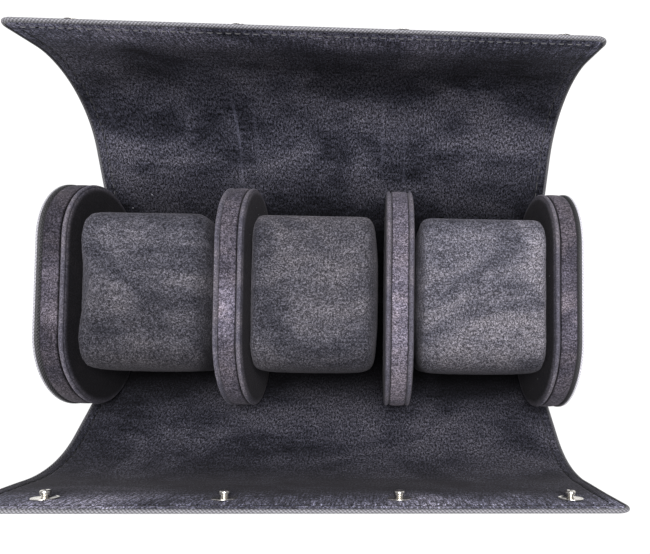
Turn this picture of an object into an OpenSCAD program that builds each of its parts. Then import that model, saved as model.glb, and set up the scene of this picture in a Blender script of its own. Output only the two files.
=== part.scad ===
// Watch travel case for wrist watches, a roll that lies open. A leather wrap carries four upright
// oval discs, the two outer ones closing the ends and the two inner ones parting the slots, and a
// soft pillow lies in each slot. The back flap folds over the discs, the front flap folds over
// that, and a row of ball studs on the front flap snaps into sockets on the back flap.
//
// Origin: middle of the flat underside. +X runs along the roll, +Y to the back flap, +Z up.

/* [Slots and discs] */
// Number of watch slots
slots = 3; // [2:1:4]
// Clear width of a slot between two discs
slot_w = 57.2; // [45:0.1:75]
// Width of a disc from front to back
disc_w = 98; // [88:1:120]
// Height of a disc, whose ends are full rounds
disc_h = 60; // [54:1:72]
// Thickness of a disc over both of its panels
disc_t = 12.1; // [8:0.1:16]
// Thickness of each covered panel of a disc
panel_t = 2.4; // [1.6:0.1:3]
// Radius of a panel's padded edge
panel_edge = 0.9; // [0.3:0.1:1.1]
// Thickness of the strip that runs round a disc between its panels
strip_t = 1.2; // [0.8:0.1:2]
// Depth of the seam groove between the strip and the panels
seam_depth = 0.3; // [0:0.1:0.6]
// Clearance between a disc's round ends and the lining
disc_gap = 0.3; // [0.2:0.1:1]

/* [Wrap] */
// Thickness of the outer leather
leather_t = 1; // [0.6:0.1:1.6]
// Thickness of the stiffener board inside the wrap
board_t = 1.2; // [0.8:0.1:2]
// Thickness of the suede lining
lining_t = 0.8; // [0.5:0.1:1.4]
// Width of the leather turned round the wrap's edges
hem_w = 1.2; // [0.8:0.1:2]
// Radius of the flap corners
corner_r = 6; // [3:0.5:12]
// Gap between two stretches of the wrap, measured on the lining
bend_gap = 0.3; // [0.2:0.05:0.6]
// Angle of each stretch's end, so that the flap can also bend outwards
bend_bevel = 6; // [4:0.5:9]

/* [Back flap] */
// Heading of the back flap as it leaves the discs, in degrees
back_hug = 24; // [18:1:32]
// Where the back flap's straight stretch ends, in degrees round the discs' ends when closed
back_lean_end = 109; // [104:0.5:114]
// Where the back flap's curve ends, in degrees round the discs' ends when closed
back_curve_end = 188.5; // [182:0.5:195]
// Turn of the back flap's curve, in degrees
back_turn = 70.5; // [64:0.5:72]
// Place of the back flap's first bend, in degrees round the discs' ends when closed
back_first_bend = 39.7; // [36:0.1:42]
// Spacing of the back flap's bends, in degrees round the discs' ends when closed
back_bend_step = 28.4; // [28:0.1:29]
// Turn of each of the back flap's bends when the case is closed, in degrees
back_close = 28; // [24:0.5:28]

/* [Front flap] */
// Heading of the front flap as it leaves the discs, in degrees
front_hug = 44; // [36:1:50]
// Where the front flap's straight stretch ends, in degrees round the discs' ends when closed
front_lean_end = 104.5; // [102:0.5:110]
// Where the front flap's curve ends, in degrees round the discs' ends when closed
front_curve_end = 176.4; // [176:0.1:185]
// Turn of the front flap's curve, in degrees
front_turn = 46; // [40:0.5:46]
// How far the closed front flap's edge reaches past the middle of the top
front_reach = 13; // [12:0.5:20]
// Places of the front flap's four bends, in degrees round the discs' ends when closed
front_bends_at = [55.7, 75.4, 101, 175.2]; // [50:0.1:180]
// Turns of the front flap's four bends when the case is closed, in degrees
front_close = [21.6, 19.4, 15, 30.9]; // [10:0.1:35]

/* [Snaps] */
// Number of snaps along the flap
snaps = 4; // [2:1:6]
// Distance of the outer snaps from the ends of the wrap
snap_inset = 10.5; // [9:0.5:25]
// Distance of the studs from the front flap's edge
stud_inset = 14; // [12:0.5:16]
// Distance of the sockets from the back flap's edge
socket_inset = 6.4; // [6:0.1:12]
// Diameter of a stud's round head
head_d = 3.8; // [3:0.1:4.6]
// Height of a stud's round head
head_h = 2.3; // [1.8:0.1:2.6]
// Diameter of the neck under the head
neck_d = 2.4; // [1.8:0.1:2.6]
// Length of the neck
neck_h = 1.5; // [1.2:0.1:1.8]
// Diameter of a stud's flange
flange_d = 10.2; // [8:0.1:12]
// Thickness of a stud's flange
flange_t = 0.5; // [0.3:0.1:0.7]
// Radius of the rolled rim round the flange
flange_rim = 0.4; // [0.3:0.1:0.5]
// Diameter of the cap on the outside of the front flap
cap_d = 12.5; // [10:0.5:15]
// Height of the cap's dome
cap_h = 1.6; // [1:0.1:3]
// Diameter of the post that holds the cap and the stud together
post_d = 1.4; // [1:0.1:1.8]
// Diameter of a socket
socket_d = 9; // [8:0.1:10]
// Height of a socket above the leather
socket_h = 1.9; // [1.6:0.1:2.1]
// Clearance of a stud's head in its socket, all round
head_gap = 0.45; // [0.3:0.05:0.6]
// Diameter of the socket's two spring wires
wire_d = 0.5; // [0.3:0.1:0.6]
// Clearance of a snap's tube in its hole
hole_gap = 0.1; // [0.05:0.05:0.3]

/* [Pillows] */
// Width of a pillow along the roll
pillow_w = 54; // [42:1:70]
// Length of a pillow from front to back
pillow_l = 77; // [60:1:84]
// Height of a pillow
pillow_h = 41; // [30:1:50]
// Radius of a pillow's long edges
pillow_r = 19; // [12:1:20]
// Radius of the seams at a pillow's two flat sides
pillow_edge = 4; // [1:0.5:8]
// Thickness of the suede cover
cover_t = 1.2; // [0.8:0.1:2]
// Clearance between a pillow and the lining under it
pillow_gap = 0.3; // [0.2:0.1:1]

/* [Hidden] */
$fn = 64;
eps = 0.01;
wrap_t = leather_t + board_t + lining_t;
wrap_w = slots * slot_w + (slots + 1) * disc_t;
disc_r = disc_h / 2;
disc_flat = disc_w / 2 - disc_r;
hug_r = disc_r + disc_gap;
disc_pitch = slot_w + disc_t;
// Height of the pillows over the lining, which starts to curve up below their front and back
pillow_past = max(0, pillow_l / 2 - pillow_r - disc_flat);
pillow_room_r = hug_r - pillow_gap - pillow_r;
pillow_z = max(pillow_gap,
               disc_r - pillow_r - sqrt(max(0, pow(pillow_room_r, 2) - pow(pillow_past, 2))));
arc_step = 3; // degrees between two points of a curved stretch
leather_colour = [0.2, 0.2, 0.22];
suede_colour = [0.33, 0.33, 0.36];
board_colour = [0.72, 0.66, 0.55];
foam_colour = [0.85, 0.83, 0.76];
metal_colour = [0.8, 0.8, 0.8];

// Length of the lining over an angle round a disc's end, and from the base's middle to the top's
function round_disc(a) = hug_r * radians(a);
half_way = 2 * disc_flat + round_disc(180);
// A flap's route along the lining, from the middle of the base out to its edge, as stretches of
// [length, turn in degrees]. Each flap has its own frame: first value outwards, second value up.
function flap_path(hug, lean_end, curve_end, turn, rise) =
    [[disc_flat, 0], [round_disc(hug), hug], [round_disc(lean_end - hug), 0],
     [round_disc(curve_end - lean_end), turn], [rise, 0]];
front_rise = half_way + front_reach - disc_flat - round_disc(front_curve_end);
front_path = flap_path(front_hug, front_lean_end, front_curve_end, front_turn, front_rise);
front_bends = [for (a = front_bends_at) disc_flat + round_disc(a)];
front_end = start_of(front_path, len(front_path));
// The back flap's route as far as the sockets can lie, and its bends
back_route = flap_path(back_hug, back_lean_end, back_curve_end, back_turn, half_way);
back_bends = [for (k = [0:2]) disc_flat + round_disc(back_first_bend + k * back_bend_step)];
back_turns = [for (b = back_bends) back_close];
back_rise_at = start_of(back_route, len(back_route) - 1);

function start_of(path, i) = i == 0 ? 0 : path[i - 1][0] + start_of(path, i - 1);
function radians(a) = a * PI / 180;
// [outwards, up, heading] after a stretch of the given length and turn
function onward(p, run, turn) =
    turn == 0
        ? [p[0] + run * cos(p[2]), p[1] + run * sin(p[2]), p[2]]
        : let (r = run / radians(turn))
          [p[0] + r * (sin(p[2] + turn) - sin(p[2])), p[1] - r * (cos(p[2] + turn) - cos(p[2])),
           p[2] + turn];
// [outwards, up, heading] at distance s along a path
function along(path, s, i = 0, p = [0, 0, 0]) =
    s <= path[i][0] || i == len(path) - 1
        ? onward(p, s, path[i][1] * s / path[i][0])
        : along(path, s - path[i][0], i + 1, onward(p, path[i][0], path[i][1]));
// The point at distance s along a path and depth n under the lining's face
function skin(path, s, n) = let (p = along(path, s)) [p[0] + n * sin(p[2]), p[1] - n * cos(p[2])];
// Distances from a to b along a path, close together where it curves
function stops(path, a, b) =
    concat([a],
           [for (i = [0:len(path) - 1])
               let (s = start_of(path, i), parts = max(1, ceil(path[i][1] / arc_step)))
               for (k = [0:parts - 1])
                   let (t = s + k * path[i][0] / parts)
                   if (t > a + eps && t < b - eps) t],
           [b]);
function face(path, a, b, n) = [for (s = stops(path, a, b)) skin(path, s, n)];
function backwards(v) = [for (i = [len(v) - 1:-1:0]) v[i]];
function mirrored(v) = [for (p = v) [-p[0], p[1]]];
// Where a stretch ends at a bend: side is 1 after the bend and -1 before it
function bend_face(s, n, side) = s + side * (bend_gap / 2 + n * tan(bend_bevel));
// A point turned about a centre
function swung(p, c, a) =
    [c[0] + (p[0] - c[0]) * cos(a) - (p[1] - c[1]) * sin(a),
     c[1] + (p[0] - c[0]) * sin(a) + (p[1] - c[1]) * cos(a)];
// A point of a flap's edge stretch, moved by all its bends, and the same undone
function folded(p, path, bends, turns, k) =
    k < 0 ? p : folded(swung(p, skin(path, bends[k], 0), turns[k]), path, bends, turns, k - 1);
function unfolded(p, path, bends, turns, k = 0) =
    k == len(bends)
        ? p
        : unfolded(swung(p, skin(path, bends[k], 0), -turns[k]), path, bends, turns, k + 1);

// The snaps. A socket lies where the closed front flap brings its stud, and the back flap's edge
// lies a set distance past the sockets.
snap_x = [for (i = [0:snaps - 1])
             -wrap_w / 2 + snap_inset + i * (wrap_w - 2 * snap_inset) / (snaps - 1)];
stud_at = front_end - stud_inset;
head_z = flange_t + neck_h + head_h / 2;
head_closed = folded(skin(front_path, stud_at, -head_z), front_path, front_bends, front_close,
                     len(front_bends) - 1);
head_on_back = unfolded([-head_closed[0], head_closed[1]], back_route, back_bends, back_turns);
rise_start = along(back_route, back_rise_at);
socket_at = back_rise_at + (head_on_back[0] - rise_start[0]) * cos(rise_start[2])
            + (head_on_back[1] - rise_start[1]) * sin(rise_start[2]);
back_path = flap_path(back_hug, back_lean_end, back_curve_end, back_turn,
                      socket_at + socket_inset - back_rise_at);
head_room_r = head_d / 2 + head_gap;
tube_wall = 0.35;
stud_hole_r = post_d / 2 + tube_wall + 2 * hole_gap;
eyelet_r = head_room_r + tube_wall;
eyelet_flange_t = 0.4;
eyelet_flange_r = eyelet_r + 1.6;

// Node names
back_parts = [for (k = [1:len(back_bends)]) str("back_flap_", k)];
front_parts = [for (k = [1:len(front_bends)]) str("front_flap_", k)];
layers = ["_leather", "_board", "_lining"];
disc_names = concat(["left_disc"], [for (k = [1:slots - 1]) str("divider_", k)], ["right_disc"]);
disc_pieces = ["_left_panel", "_right_panel", "_strip", "_core"];
pillow_names = [for (k = [1:slots]) str("pillow_", k)];
snap_names = ["snap_studs", "stud_caps", "snap_sockets", "socket_springs", "socket_eyelets"];

// Raises the pieces from the lining's frame to the one that stands on the leather
module on_leather() { translate([0, 0, wrap_t]) children(); }
// Draws an outline of [Y, Z] points as a solid w wide along X
module across(points, w) { rotate([90, 0, 90]) linear_extrude(w, center = true) polygon(points); }
// Puts a child on a path: its Z points up out of the lining, its Y towards the flap's edge
module place(path, s) {
    p = along(path, s);
    translate([0, p[0], p[1]]) rotate([p[2], 0, 0]) children();
}

// The material outside a flap's two round corners, for an edge set back by inset
module outside_corners(path, end, inset) {
    r = corner_r - inset;
    for (side = [-1, 1])
        place(path, end - inset)
            translate([side * (wrap_w / 2 - inset - r), -r, -2 * wrap_t])
                difference() {
                    translate([side > 0 ? 0 : -2 * r, 0, 0]) cube([2 * r, 2 * r, 4 * wrap_t]);
                    translate([0, 0, -eps]) cylinder(r = r, h = 4 * wrap_t + 2 * eps);
                }
}
// One stretch of a flap between depths n0 and n1, from its bend to the next or to the edge
module stretch_band(path, bends, k, n0, n1, inset) {
    last = k == len(bends) - 1;
    end = start_of(path, len(path));
    near = [for (n = [n0, n1]) bend_face(bends[k], n, 1)];
    far = [for (n = [n0, n1]) last ? end - inset : bend_face(bends[k + 1], n, -1)];
    difference() {
        across(concat(face(path, near[0], far[0], n0), backwards(face(path, near[1], far[1], n1))),
               wrap_w - 2 * inset);
        if (last) outside_corners(path, end, inset);
    }
}
// The room that the leather's turned edge leaves for the board and the lining
module stretch_pocket(path, bends, k) {
    last = k == len(bends) - 1;
    end = start_of(path, len(path));
    a = bends[k] - bend_gap;
    b = last ? end - hem_w : bends[k + 1] + bend_gap;
    difference() {
        across(concat(face(path, a, b, -1), backwards(face(path, a, b, lining_t + board_t))),
               wrap_w - 2 * hem_w);
        if (last) outside_corners(path, end, hem_w);
    }
}
// Holes along a flap for the snaps, down to depth n1 from depth n0
module snap_holes(path, s, r, n0, n1) {
    for (x = snap_x) place(path, s) translate([x, 0, -n1]) cylinder(r = r, h = n1 - n0);
}
module flap_leather(path, bends, k, hole_s, hole_r) {
    color(leather_colour) on_leather() difference() {
        stretch_band(path, bends, k, 0, wrap_t, 0);
        stretch_pocket(path, bends, k);
        if (k == len(bends) - 1) snap_holes(path, hole_s, hole_r, -1, wrap_t + 1);
    }
}
module flap_board(path, bends, k, hole_s, hole_r) {
    color(board_colour) on_leather() difference() {
        stretch_band(path, bends, k, lining_t, lining_t + board_t, hem_w);
        if (k == len(bends) - 1) snap_holes(path, hole_s, hole_r, -1, wrap_t + 1);
    }
}
module flap_lining(path, bends, k) {
    color(suede_colour) on_leather() stretch_band(path, bends, k, 0, lining_t, hem_w);
}
module back_flap_leather(k) { flap_leather(back_path, back_bends, k, socket_at, eyelet_r + hole_gap); }
module back_flap_board(k) {
    difference() {
        flap_board(back_path, back_bends, k, socket_at, eyelet_r + hole_gap);
        if (k == len(back_bends) - 1)
            on_leather()
                snap_holes(back_path, socket_at, eyelet_flange_r + hole_gap, 0,
                           lining_t + eyelet_flange_t);
    }
}
module back_flap_lining(k) { flap_lining(back_path, back_bends, k); }
module front_flap_leather(k) {
    mirror([0, 1, 0]) flap_leather(front_path, front_bends, k, stud_at, stud_hole_r);
}
module front_flap_board(k) {
    mirror([0, 1, 0]) flap_board(front_path, front_bends, k, stud_at, stud_hole_r);
}
module front_flap_lining(k) {
    mirror([0, 1, 0]) difference() {
        flap_lining(front_path, front_bends, k);
        if (k == len(front_bends) - 1)
            on_leather() snap_holes(front_path, stud_at, stud_hole_r, -1, wrap_t);
    }
}

// The base of the wrap, between the first bends of the two flaps
module base_band(n0, n1, w, extra = 0) {
    function side(path, s, n) =
        face(path, 0, extra > 0 ? s + extra : bend_face(s, n, -1), n);
    across(concat(backwards(mirrored(side(front_path, front_bends[0], n0))),
                  side(back_path, back_bends[0], n0),
                  backwards(side(back_path, back_bends[0], n1)),
                  mirrored(side(front_path, front_bends[0], n1))), w);
}
module base_leather() {
    color(leather_colour) on_leather() difference() {
        base_band(0, wrap_t, wrap_w);
        base_band(-1, lining_t + board_t, wrap_w - 2 * hem_w, bend_gap);
    }
}
module base_board() {
    color(board_colour) on_leather()
        base_band(lining_t, lining_t + board_t, wrap_w - 2 * hem_w);
}
module base_lining() {
    color(suede_colour) on_leather() base_band(0, lining_t, wrap_w - 2 * hem_w);
}

// Sweeps a profile (first value outwards from the corner centre) round a w by h oval or rounded
// rectangle with corners of radius r
module swept(w, h, r) {
    flat_w = w / 2 - r;
    flat_h = h / 2 - r;
    for (q = [[1, 1, 0], [-1, 1, 90], [-1, -1, 180], [1, -1, 270]])
        translate([q[0] * flat_w, q[1] * flat_h, 0]) rotate(q[2]) rotate_extrude(angle = 90) children();
    for (side = [0, 180]) {
        if (flat_w > 0)
            rotate(side) translate([0, flat_h, 0]) rotate([90, 0, 90])
                linear_extrude(2 * flat_w, center = true) children();
        if (flat_h > 0)
            rotate(side + 90) translate([0, flat_w, 0]) rotate([90, 0, 90])
                linear_extrude(2 * flat_h, center = true) children();
    }
}
// A plate's half section: r outwards, t thick, its outer edge rounded by e
module plate_section(r, t, e) {
    square([r - e, t]);
    translate([0, e]) square([r, t - 2 * e]);
    for (y = [e, t - e]) translate([r - e, y]) circle(e, $fn = 32);
}
// A rounded plate w by h and t thick, standing on its face
module rounded_plate(w, h, r, t, e) {
    swept(w, h, r) plate_section(r, t, e);
    if (h / 2 > r) translate([-(w / 2 - r), -(h / 2 - r), 0]) cube([w - 2 * r, h - 2 * r, t]);
}

// The discs stand across the roll: their own X runs to the back, their own Y up, their Z along +X
function disc_x(i) = -wrap_w / 2 + i * disc_pitch;
module in_disc(i, z) {
    on_leather() translate([disc_x(i) + z, 0, disc_r]) rotate([90, 0, 90]) children();
}
module disc_panel(i, z, colour) {
    color(colour) in_disc(i, z) rounded_plate(disc_w, disc_h, disc_r, panel_t, panel_edge);
}
module disc_left_panel(i) { disc_panel(i, 0, i == 0 ? leather_colour : suede_colour); }
module disc_right_panel(i) {
    disc_panel(i, disc_t - panel_t, i == slots ? leather_colour : suede_colour);
}
module disc_strip(i) {
    color(suede_colour) in_disc(i, panel_t) swept(disc_w, disc_h, disc_r)
        translate([disc_r - seam_depth - strip_t, 0]) square([strip_t, disc_t - 2 * panel_t]);
}
module disc_core(i) {
    inset = seam_depth + strip_t;
    color(foam_colour) in_disc(i, panel_t)
        rounded_plate(disc_w - 2 * inset, disc_h - 2 * inset, disc_r - inset, disc_t - 2 * panel_t, 0.5);
}

// The pillows stand on the lining, each in the middle of its slot
module in_pillow(i, inset) {
    on_leather()
        translate([disc_x(i) + disc_t + slot_w / 2 - pillow_w / 2 + inset, 0, pillow_z + pillow_h / 2])
            rotate([90, 0, 90]) children();
}
module pillow_foam(i) {
    color(foam_colour) in_pillow(i, cover_t)
        rounded_plate(pillow_l - 2 * cover_t, pillow_h - 2 * cover_t, pillow_r - cover_t,
                      pillow_w - 2 * cover_t, max(0.3, pillow_edge - cover_t));
}
module pillow_cover(i) {
    color(suede_colour) difference() {
        in_pillow(i, 0) rounded_plate(pillow_l, pillow_h, pillow_r, pillow_w, pillow_edge);
        pillow_foam(i);
    }
}

// Each snap is drawn once, with Z out of the surface that it sits on
module along_front(n) {
    on_leather() mirror([0, 1, 0])
        for (x = snap_x) place(front_path, stud_at) translate([x, 0, -n]) children();
}
module along_back(n) {
    on_leather() for (x = snap_x)
        place(back_path, socket_at) translate([x, 0, -n]) rotate([180, 0, 0]) children();
}
module stud() {
    foot_r = neck_d / 2 + 0.8;
    hub_h = flange_t + neck_h;
    ball_r = head_h / 2;
    tube_depth = wrap_t - leather_t / 2;
    difference() {
        union() {
            // the flange and its rolled rim
            cylinder(d = flange_d - 2 * flange_rim, h = flange_t);
            rotate_extrude() translate([flange_d / 2 - flange_rim, flange_rim]) circle(flange_rim, $fn = 32);
            // the flared foot, the neck and the flattened ball head
            translate([0, 0, flange_t - eps]) cylinder(r1 = foot_r, r2 = neck_d / 2, h = neck_h / 2);
            cylinder(d = neck_d, h = hub_h + ball_r);
            translate([0, 0, hub_h]) {
                cylinder(r = head_d / 2 - ball_r, h = head_h);
                rotate_extrude() intersection() {
                    translate([head_d / 2 - ball_r, ball_r]) circle(ball_r, $fn = 48);
                    square([head_d, head_h]);
                }
            }
            // the tube that goes down through the flap
            translate([0, 0, -tube_depth]) cylinder(r = stud_hole_r - hole_gap, h = tube_depth + eps);
        }
        translate([0, 0, -wrap_t]) cylinder(d = post_d + 2 * hole_gap, h = wrap_t + hub_h);
    }
}
module snap_studs() { color(metal_colour) along_front(0) stud(); }
module stud_caps() {
    dome_r = (pow(cap_d / 2, 2) + pow(cap_h, 2)) / (2 * cap_h);
    color(metal_colour) along_front(wrap_t) {
        translate([0, 0, -eps]) cylinder(d = post_d, h = wrap_t + flange_t + neck_h / 2 + eps);
        rotate_extrude() intersection() {
            translate([0, dome_r - cap_h]) circle(dome_r, $fn = 180);
            translate([0, -cap_h]) square([cap_d / 2, cap_h]);
        }
    }
}
module snap_sockets() {
    rim = 0.5;
    color(metal_colour) along_back(wrap_t) difference() {
        rotate_extrude() {
            translate([head_room_r, 0]) square([socket_d / 2 - rim - head_room_r, socket_h]);
            translate([head_room_r, 0]) square([socket_d / 2 - head_room_r, socket_h - rim]);
            translate([socket_d / 2 - rim, socket_h - rim]) circle(rim, $fn = 32);
        }
        // the slots that the spring wires lie in
        for (side = [-1, 1])
            translate([side * wire_x, 0, wire_z]) rotate([90, 0, 0])
                cylinder(d = wire_d + 2 * hole_gap, h = socket_d - 2, center = true);
    }
}
wire_x = neck_d / 2 + wire_d / 2 + 0.3;
wire_z = socket_h - wire_d / 2 - 0.2;
module socket_springs() {
    color(metal_colour) along_back(wrap_t)
        for (side = [-1, 1])
            translate([side * wire_x, 0, wire_z]) rotate([90, 0, 0])
                cylinder(d = wire_d, h = socket_d - 2.4, center = true);
}
module socket_eyelets() {
    color(metal_colour) along_back(lining_t) {
        difference() {
            cylinder(r = eyelet_r, h = wrap_t - lining_t);
            translate([0, 0, eyelet_flange_t]) cylinder(r = head_room_r, h = wrap_t);
        }
        cylinder(r = eyelet_flange_r, h = eyelet_flange_t);
    }
}

base_leather();
base_board();
base_lining();
for (k = [0:len(back_bends) - 1]) {
    back_flap_leather(k);
    back_flap_board(k);
    back_flap_lining(k);
}
for (k = [0:len(front_bends) - 1]) {
    front_flap_leather(k);
    front_flap_board(k);
    front_flap_lining(k);
}
for (i = [0:slots]) {
    disc_left_panel(i);
    disc_right_panel(i);
    disc_strip(i);
    disc_core(i);
}
for (i = [0:slots - 1]) {
    pillow_cover(i);
    pillow_foam(i);
}
snap_studs();
stud_caps();
snap_sockets();
socket_springs();
socket_eyelets();
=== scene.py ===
import math
from collections import namedtuple
from functools import reduce

import bmesh
import bpy
import numpy as np
from bpy.props import FloatProperty, FloatVectorProperty, IntProperty, PointerProperty
from mathutils import Matrix, Vector


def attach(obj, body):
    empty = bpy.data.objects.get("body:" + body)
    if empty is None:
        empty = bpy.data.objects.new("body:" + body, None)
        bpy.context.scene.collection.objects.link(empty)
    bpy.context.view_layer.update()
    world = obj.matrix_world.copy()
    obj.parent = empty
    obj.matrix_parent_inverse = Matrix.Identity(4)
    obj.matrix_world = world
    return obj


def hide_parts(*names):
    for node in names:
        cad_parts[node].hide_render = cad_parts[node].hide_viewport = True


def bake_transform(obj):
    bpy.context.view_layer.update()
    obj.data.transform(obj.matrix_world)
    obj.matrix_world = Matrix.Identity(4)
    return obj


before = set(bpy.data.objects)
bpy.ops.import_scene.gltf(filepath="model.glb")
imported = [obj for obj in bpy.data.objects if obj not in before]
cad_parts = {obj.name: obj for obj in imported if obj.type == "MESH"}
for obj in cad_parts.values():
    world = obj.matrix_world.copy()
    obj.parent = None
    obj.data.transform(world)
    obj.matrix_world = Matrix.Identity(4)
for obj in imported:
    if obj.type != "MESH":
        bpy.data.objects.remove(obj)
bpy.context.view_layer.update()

bl_info = {
    "name": "Watch Travel Case",
    "version": (1, 0, 0),
    "blender": (4, 5, 0),
    "location": "3D View > Sidebar > Watch Case",
    "description": "Leather, suede, foam and snaps of a roll for three wrist watches",
    "category": "Add Mesh",
}

# ---- sizes of the case, in millimetres
MM = 0.001
WRAP_T = 3.0          # leather, board and lining together
HALF_W = 110.0        # half the wrap's length along the roll
DISC_T = 12.1
DISC_R = 30.0
DISC_FLAT = 19.0      # half the straight stretch between a disc's two round ends
DISC_ROUND = (4 * DISC_FLAT + 2 * math.pi * DISC_R) * MM
PANEL_T = 2.4
PITCH = 69.3          # from one disc to the next
LINING_R = 30.3       # the lining's radius where it follows a disc's end
CORNER_R = 6.0
STITCH_AT = 5.0       # distance of the stitches from the wrap's edge
SHELL_T = 0.45        # thickness of the drawn leather and of the drawn lining
NO_EDGE = 1.0e6       # stands for a distance from an edge that isn't there


def route_of(hug, lean_end, curve_end, turn, rise):
    """A flap's route along the lining: (length, turn in radians) of each stretch, from the middle
    of the base outwards. All but the last length are given by angles round a disc's end."""
    def round_end(degrees):
        return LINING_R * math.radians(degrees)

    return [(DISC_FLAT, 0.0), (round_end(hug), math.radians(hug)), (round_end(lean_end - hug), 0.0),
            (round_end(curve_end - lean_end), math.radians(turn)), (rise, 0.0)]


BACK = route_of(24.0, 107.22, 206.4, 78.43, 21.57)
FRONT = route_of(44.0, 104.78, 170.0, 46.05, 37.69)
BACK_END = sum(length for length, turn in BACK)
FRONT_END = sum(length for length, turn in FRONT)
STUD_AT = FRONT_END - 13.0
SOCKET_AT = BACK_END - 6.2
PILLOW_L, PILLOW_H = 68.0, 57.0
PILLOW_X = ((-96.2, -45.2), (-27.7, 24.6), (42.6, 97.6))      # the pillows' two ends
PILLOW_Z = 31.8       # height of a pillow's middle
SNAP_X = np.linspace(-85.4, 93.4, 4)

Flap = namedtuple("Flap", "route end side pieces")
# A piece of a flap reaches from s0 to s1 along it. First and second name the two bodies that it
# lies between, and start and stop the stretch where the flap passes from one to the other
Piece = namedtuple("Piece", "s0 s1 first second start stop")
FLAPS = {
    "back": Flap(BACK, BACK_END, 1.0, [
        Piece(0.0, 47.5, "base", "back_flap_1", 33.0, 47.5),
        Piece(47.5, 62.5, "back_flap_1", "back_flap_2", 47.5, 62.5),
        Piece(62.5, BACK_END, "back_flap_2", "back_flap_3", 62.5, 76.5)]),
    "front": Flap(FRONT, FRONT_END, -1.0, [
        Piece(0.0, 53.7, "base", "front_flap_1", 43.3, 53.7),
        Piece(53.7, 65.6, "front_flap_1", "front_flap_2", 53.7, 64.1),
        Piece(65.6, 92.0, "front_flap_2", "front_flap_3", 67.0, 77.8),
        Piece(92.0, FRONT_END, "front_flap_3", "front_flap_4", 104.0, 119.3)]),
}


# ---- surfaces
def along(route, s):
    """Distance out, height and heading at each distance s of a route: on a straight stretch the
    point moves along the heading, and on a stretch of length l and turn a on a circle of radius
    l / a. Each stretch places all that lies beyond its start, and the next ones correct it."""
    def moved(run):
        if not turn:
            return y + run * math.cos(h), z + run * math.sin(h), h + 0 * run
        r = length / turn
        a = h + run / r
        return y + r * (np.sin(a) - math.sin(h)), z - r * (np.cos(a) - math.cos(h)), a

    s = np.asarray(s, float)
    places = np.zeros((3, *s.shape))
    y = z = h = start = 0.0
    for length, turn in route:
        places = np.where(s >= start, moved(s - start), places)
        y, z, h = moved(length)
        start += length
    return places


def ripple(x, s, end):
    """How far the soft flap sinks under its even shape: two crossed waves a few centimetres long,
    which fade out towards the base, the row of snaps and the edge."""
    window = np.clip((s - 78.0) / 20.0, 0, 1) * np.clip((end - 19.0 - s) / 14.0, 0, 1)
    wave = (np.sin(x / 17.0 + 1.3 * np.sin(s / 21.0)) * np.sin(s / 15.0 + 0.7)
            + 0.6 * np.sin(x / 31.0 - s / 24.0))
    return 0.22 * window * wave


def wrap_point(flap, x, s, depth):
    """Points of the wrap at x along the roll, distance s along a flap and depth under the lining's
    face, in metres: the route's point moved by depth square to its heading, and the front flap
    mirrored."""
    out, up, head = along(FLAPS[flap].route, s)
    depth = depth + ripple(x, s, FLAPS[flap].end)
    y = FLAPS[flap].side * (out + depth * np.sin(head))
    return np.stack([x + 0 * s, y, WRAP_T + up - depth * np.cos(head)], -1) * MM


def grid_quads(rows, columns, close_rows=False, close_columns=False):
    """Quads between neighbours of a grid whose points are numbered row by row, joined at the ends
    where closed."""
    i = np.arange(rows if close_rows else rows - 1)[:, None]
    j = np.arange(columns if close_columns else columns - 1)[None, :]
    here, after, j2 = i * columns, (i + 1) % rows * columns, (j + 1) % columns
    return np.stack([here + j, here + j2, after + j2, after + j], -1).reshape(-1, 4)


def new_piece(name, points, quads, uv=None, outward=None, merge=2e-6, around=0.0):
    """A smooth mesh object from points in metres and quads. Its doubles are merged. With outward, a
    direction for each point, the faces are turned to agree with it; without, a closed mesh's
    normals are recalculated. Around is the length after which u starts again, so that the faces
    that close a ring aren't given all of it."""
    points = np.asarray(points, float).reshape(-1, 3)
    quads = np.asarray(quads, np.int64).reshape(-1, 4)
    if outward is not None:
        a, b, c, d = (points[quads[:, k]] for k in range(4))
        normal = np.cross(c - a, d - b)
        if (normal * np.asarray(outward).reshape(-1, 3)[quads[:, 0]]).sum() < 0:
            quads = quads[:, ::-1]
    mesh = bpy.data.meshes.new(name)
    mesh.from_pydata(points.tolist(), [], quads.tolist())
    if uv is not None:
        layer = mesh.uv_layers.new(name="UVMap")
        corners = np.asarray(uv, np.float32).reshape(-1, 2)[quads]
        u = corners[..., 0]
        if around:
            u += around * (u < u.max(axis=1, keepdims=True) - around / 2)
        layer.data.foreach_set("uv", corners.ravel())
    work = bmesh.new()
    work.from_mesh(mesh)
    bmesh.ops.remove_doubles(work, verts=work.verts, dist=merge)
    bmesh.ops.dissolve_degenerate(work, edges=work.edges, dist=1e-7)
    if outward is None:
        bmesh.ops.recalc_face_normals(work, faces=work.faces)
    for face in work.faces:
        face.smooth = True
    for edge in work.edges:
        edge.smooth = not edge.is_boundary
    work.to_mesh(mesh)
    work.free()
    piece = bpy.data.objects.new(name, mesh)
    bpy.context.scene.collection.objects.link(piece)
    return piece


def thickened(piece):
    """Gives a sheet its thickness, inwards from the face that shows."""
    wall = piece.modifiers.new("Wall", "SOLIDIFY")
    wall.thickness = SHELL_T * MM
    wall.offset = -1.0
    wall.use_quality_normals = True
    return piece


def rounded(piece):
    """Smooths a piece by subdividing it once."""
    smooth = piece.modifiers.new("Rounding", "SUBSURF")
    smooth.levels = smooth.render_levels = 1


def finished(piece, material, slot, body=None, stands_for=()):
    """Puts the material on a piece, and with a body attaches the piece to that body and hides the
    nodes that it stands for. The slot is not used."""
    piece.data.materials.clear()
    piece.data.materials.append(material)
    if body:
        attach(piece, body)
        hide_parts(*stands_for)


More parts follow.
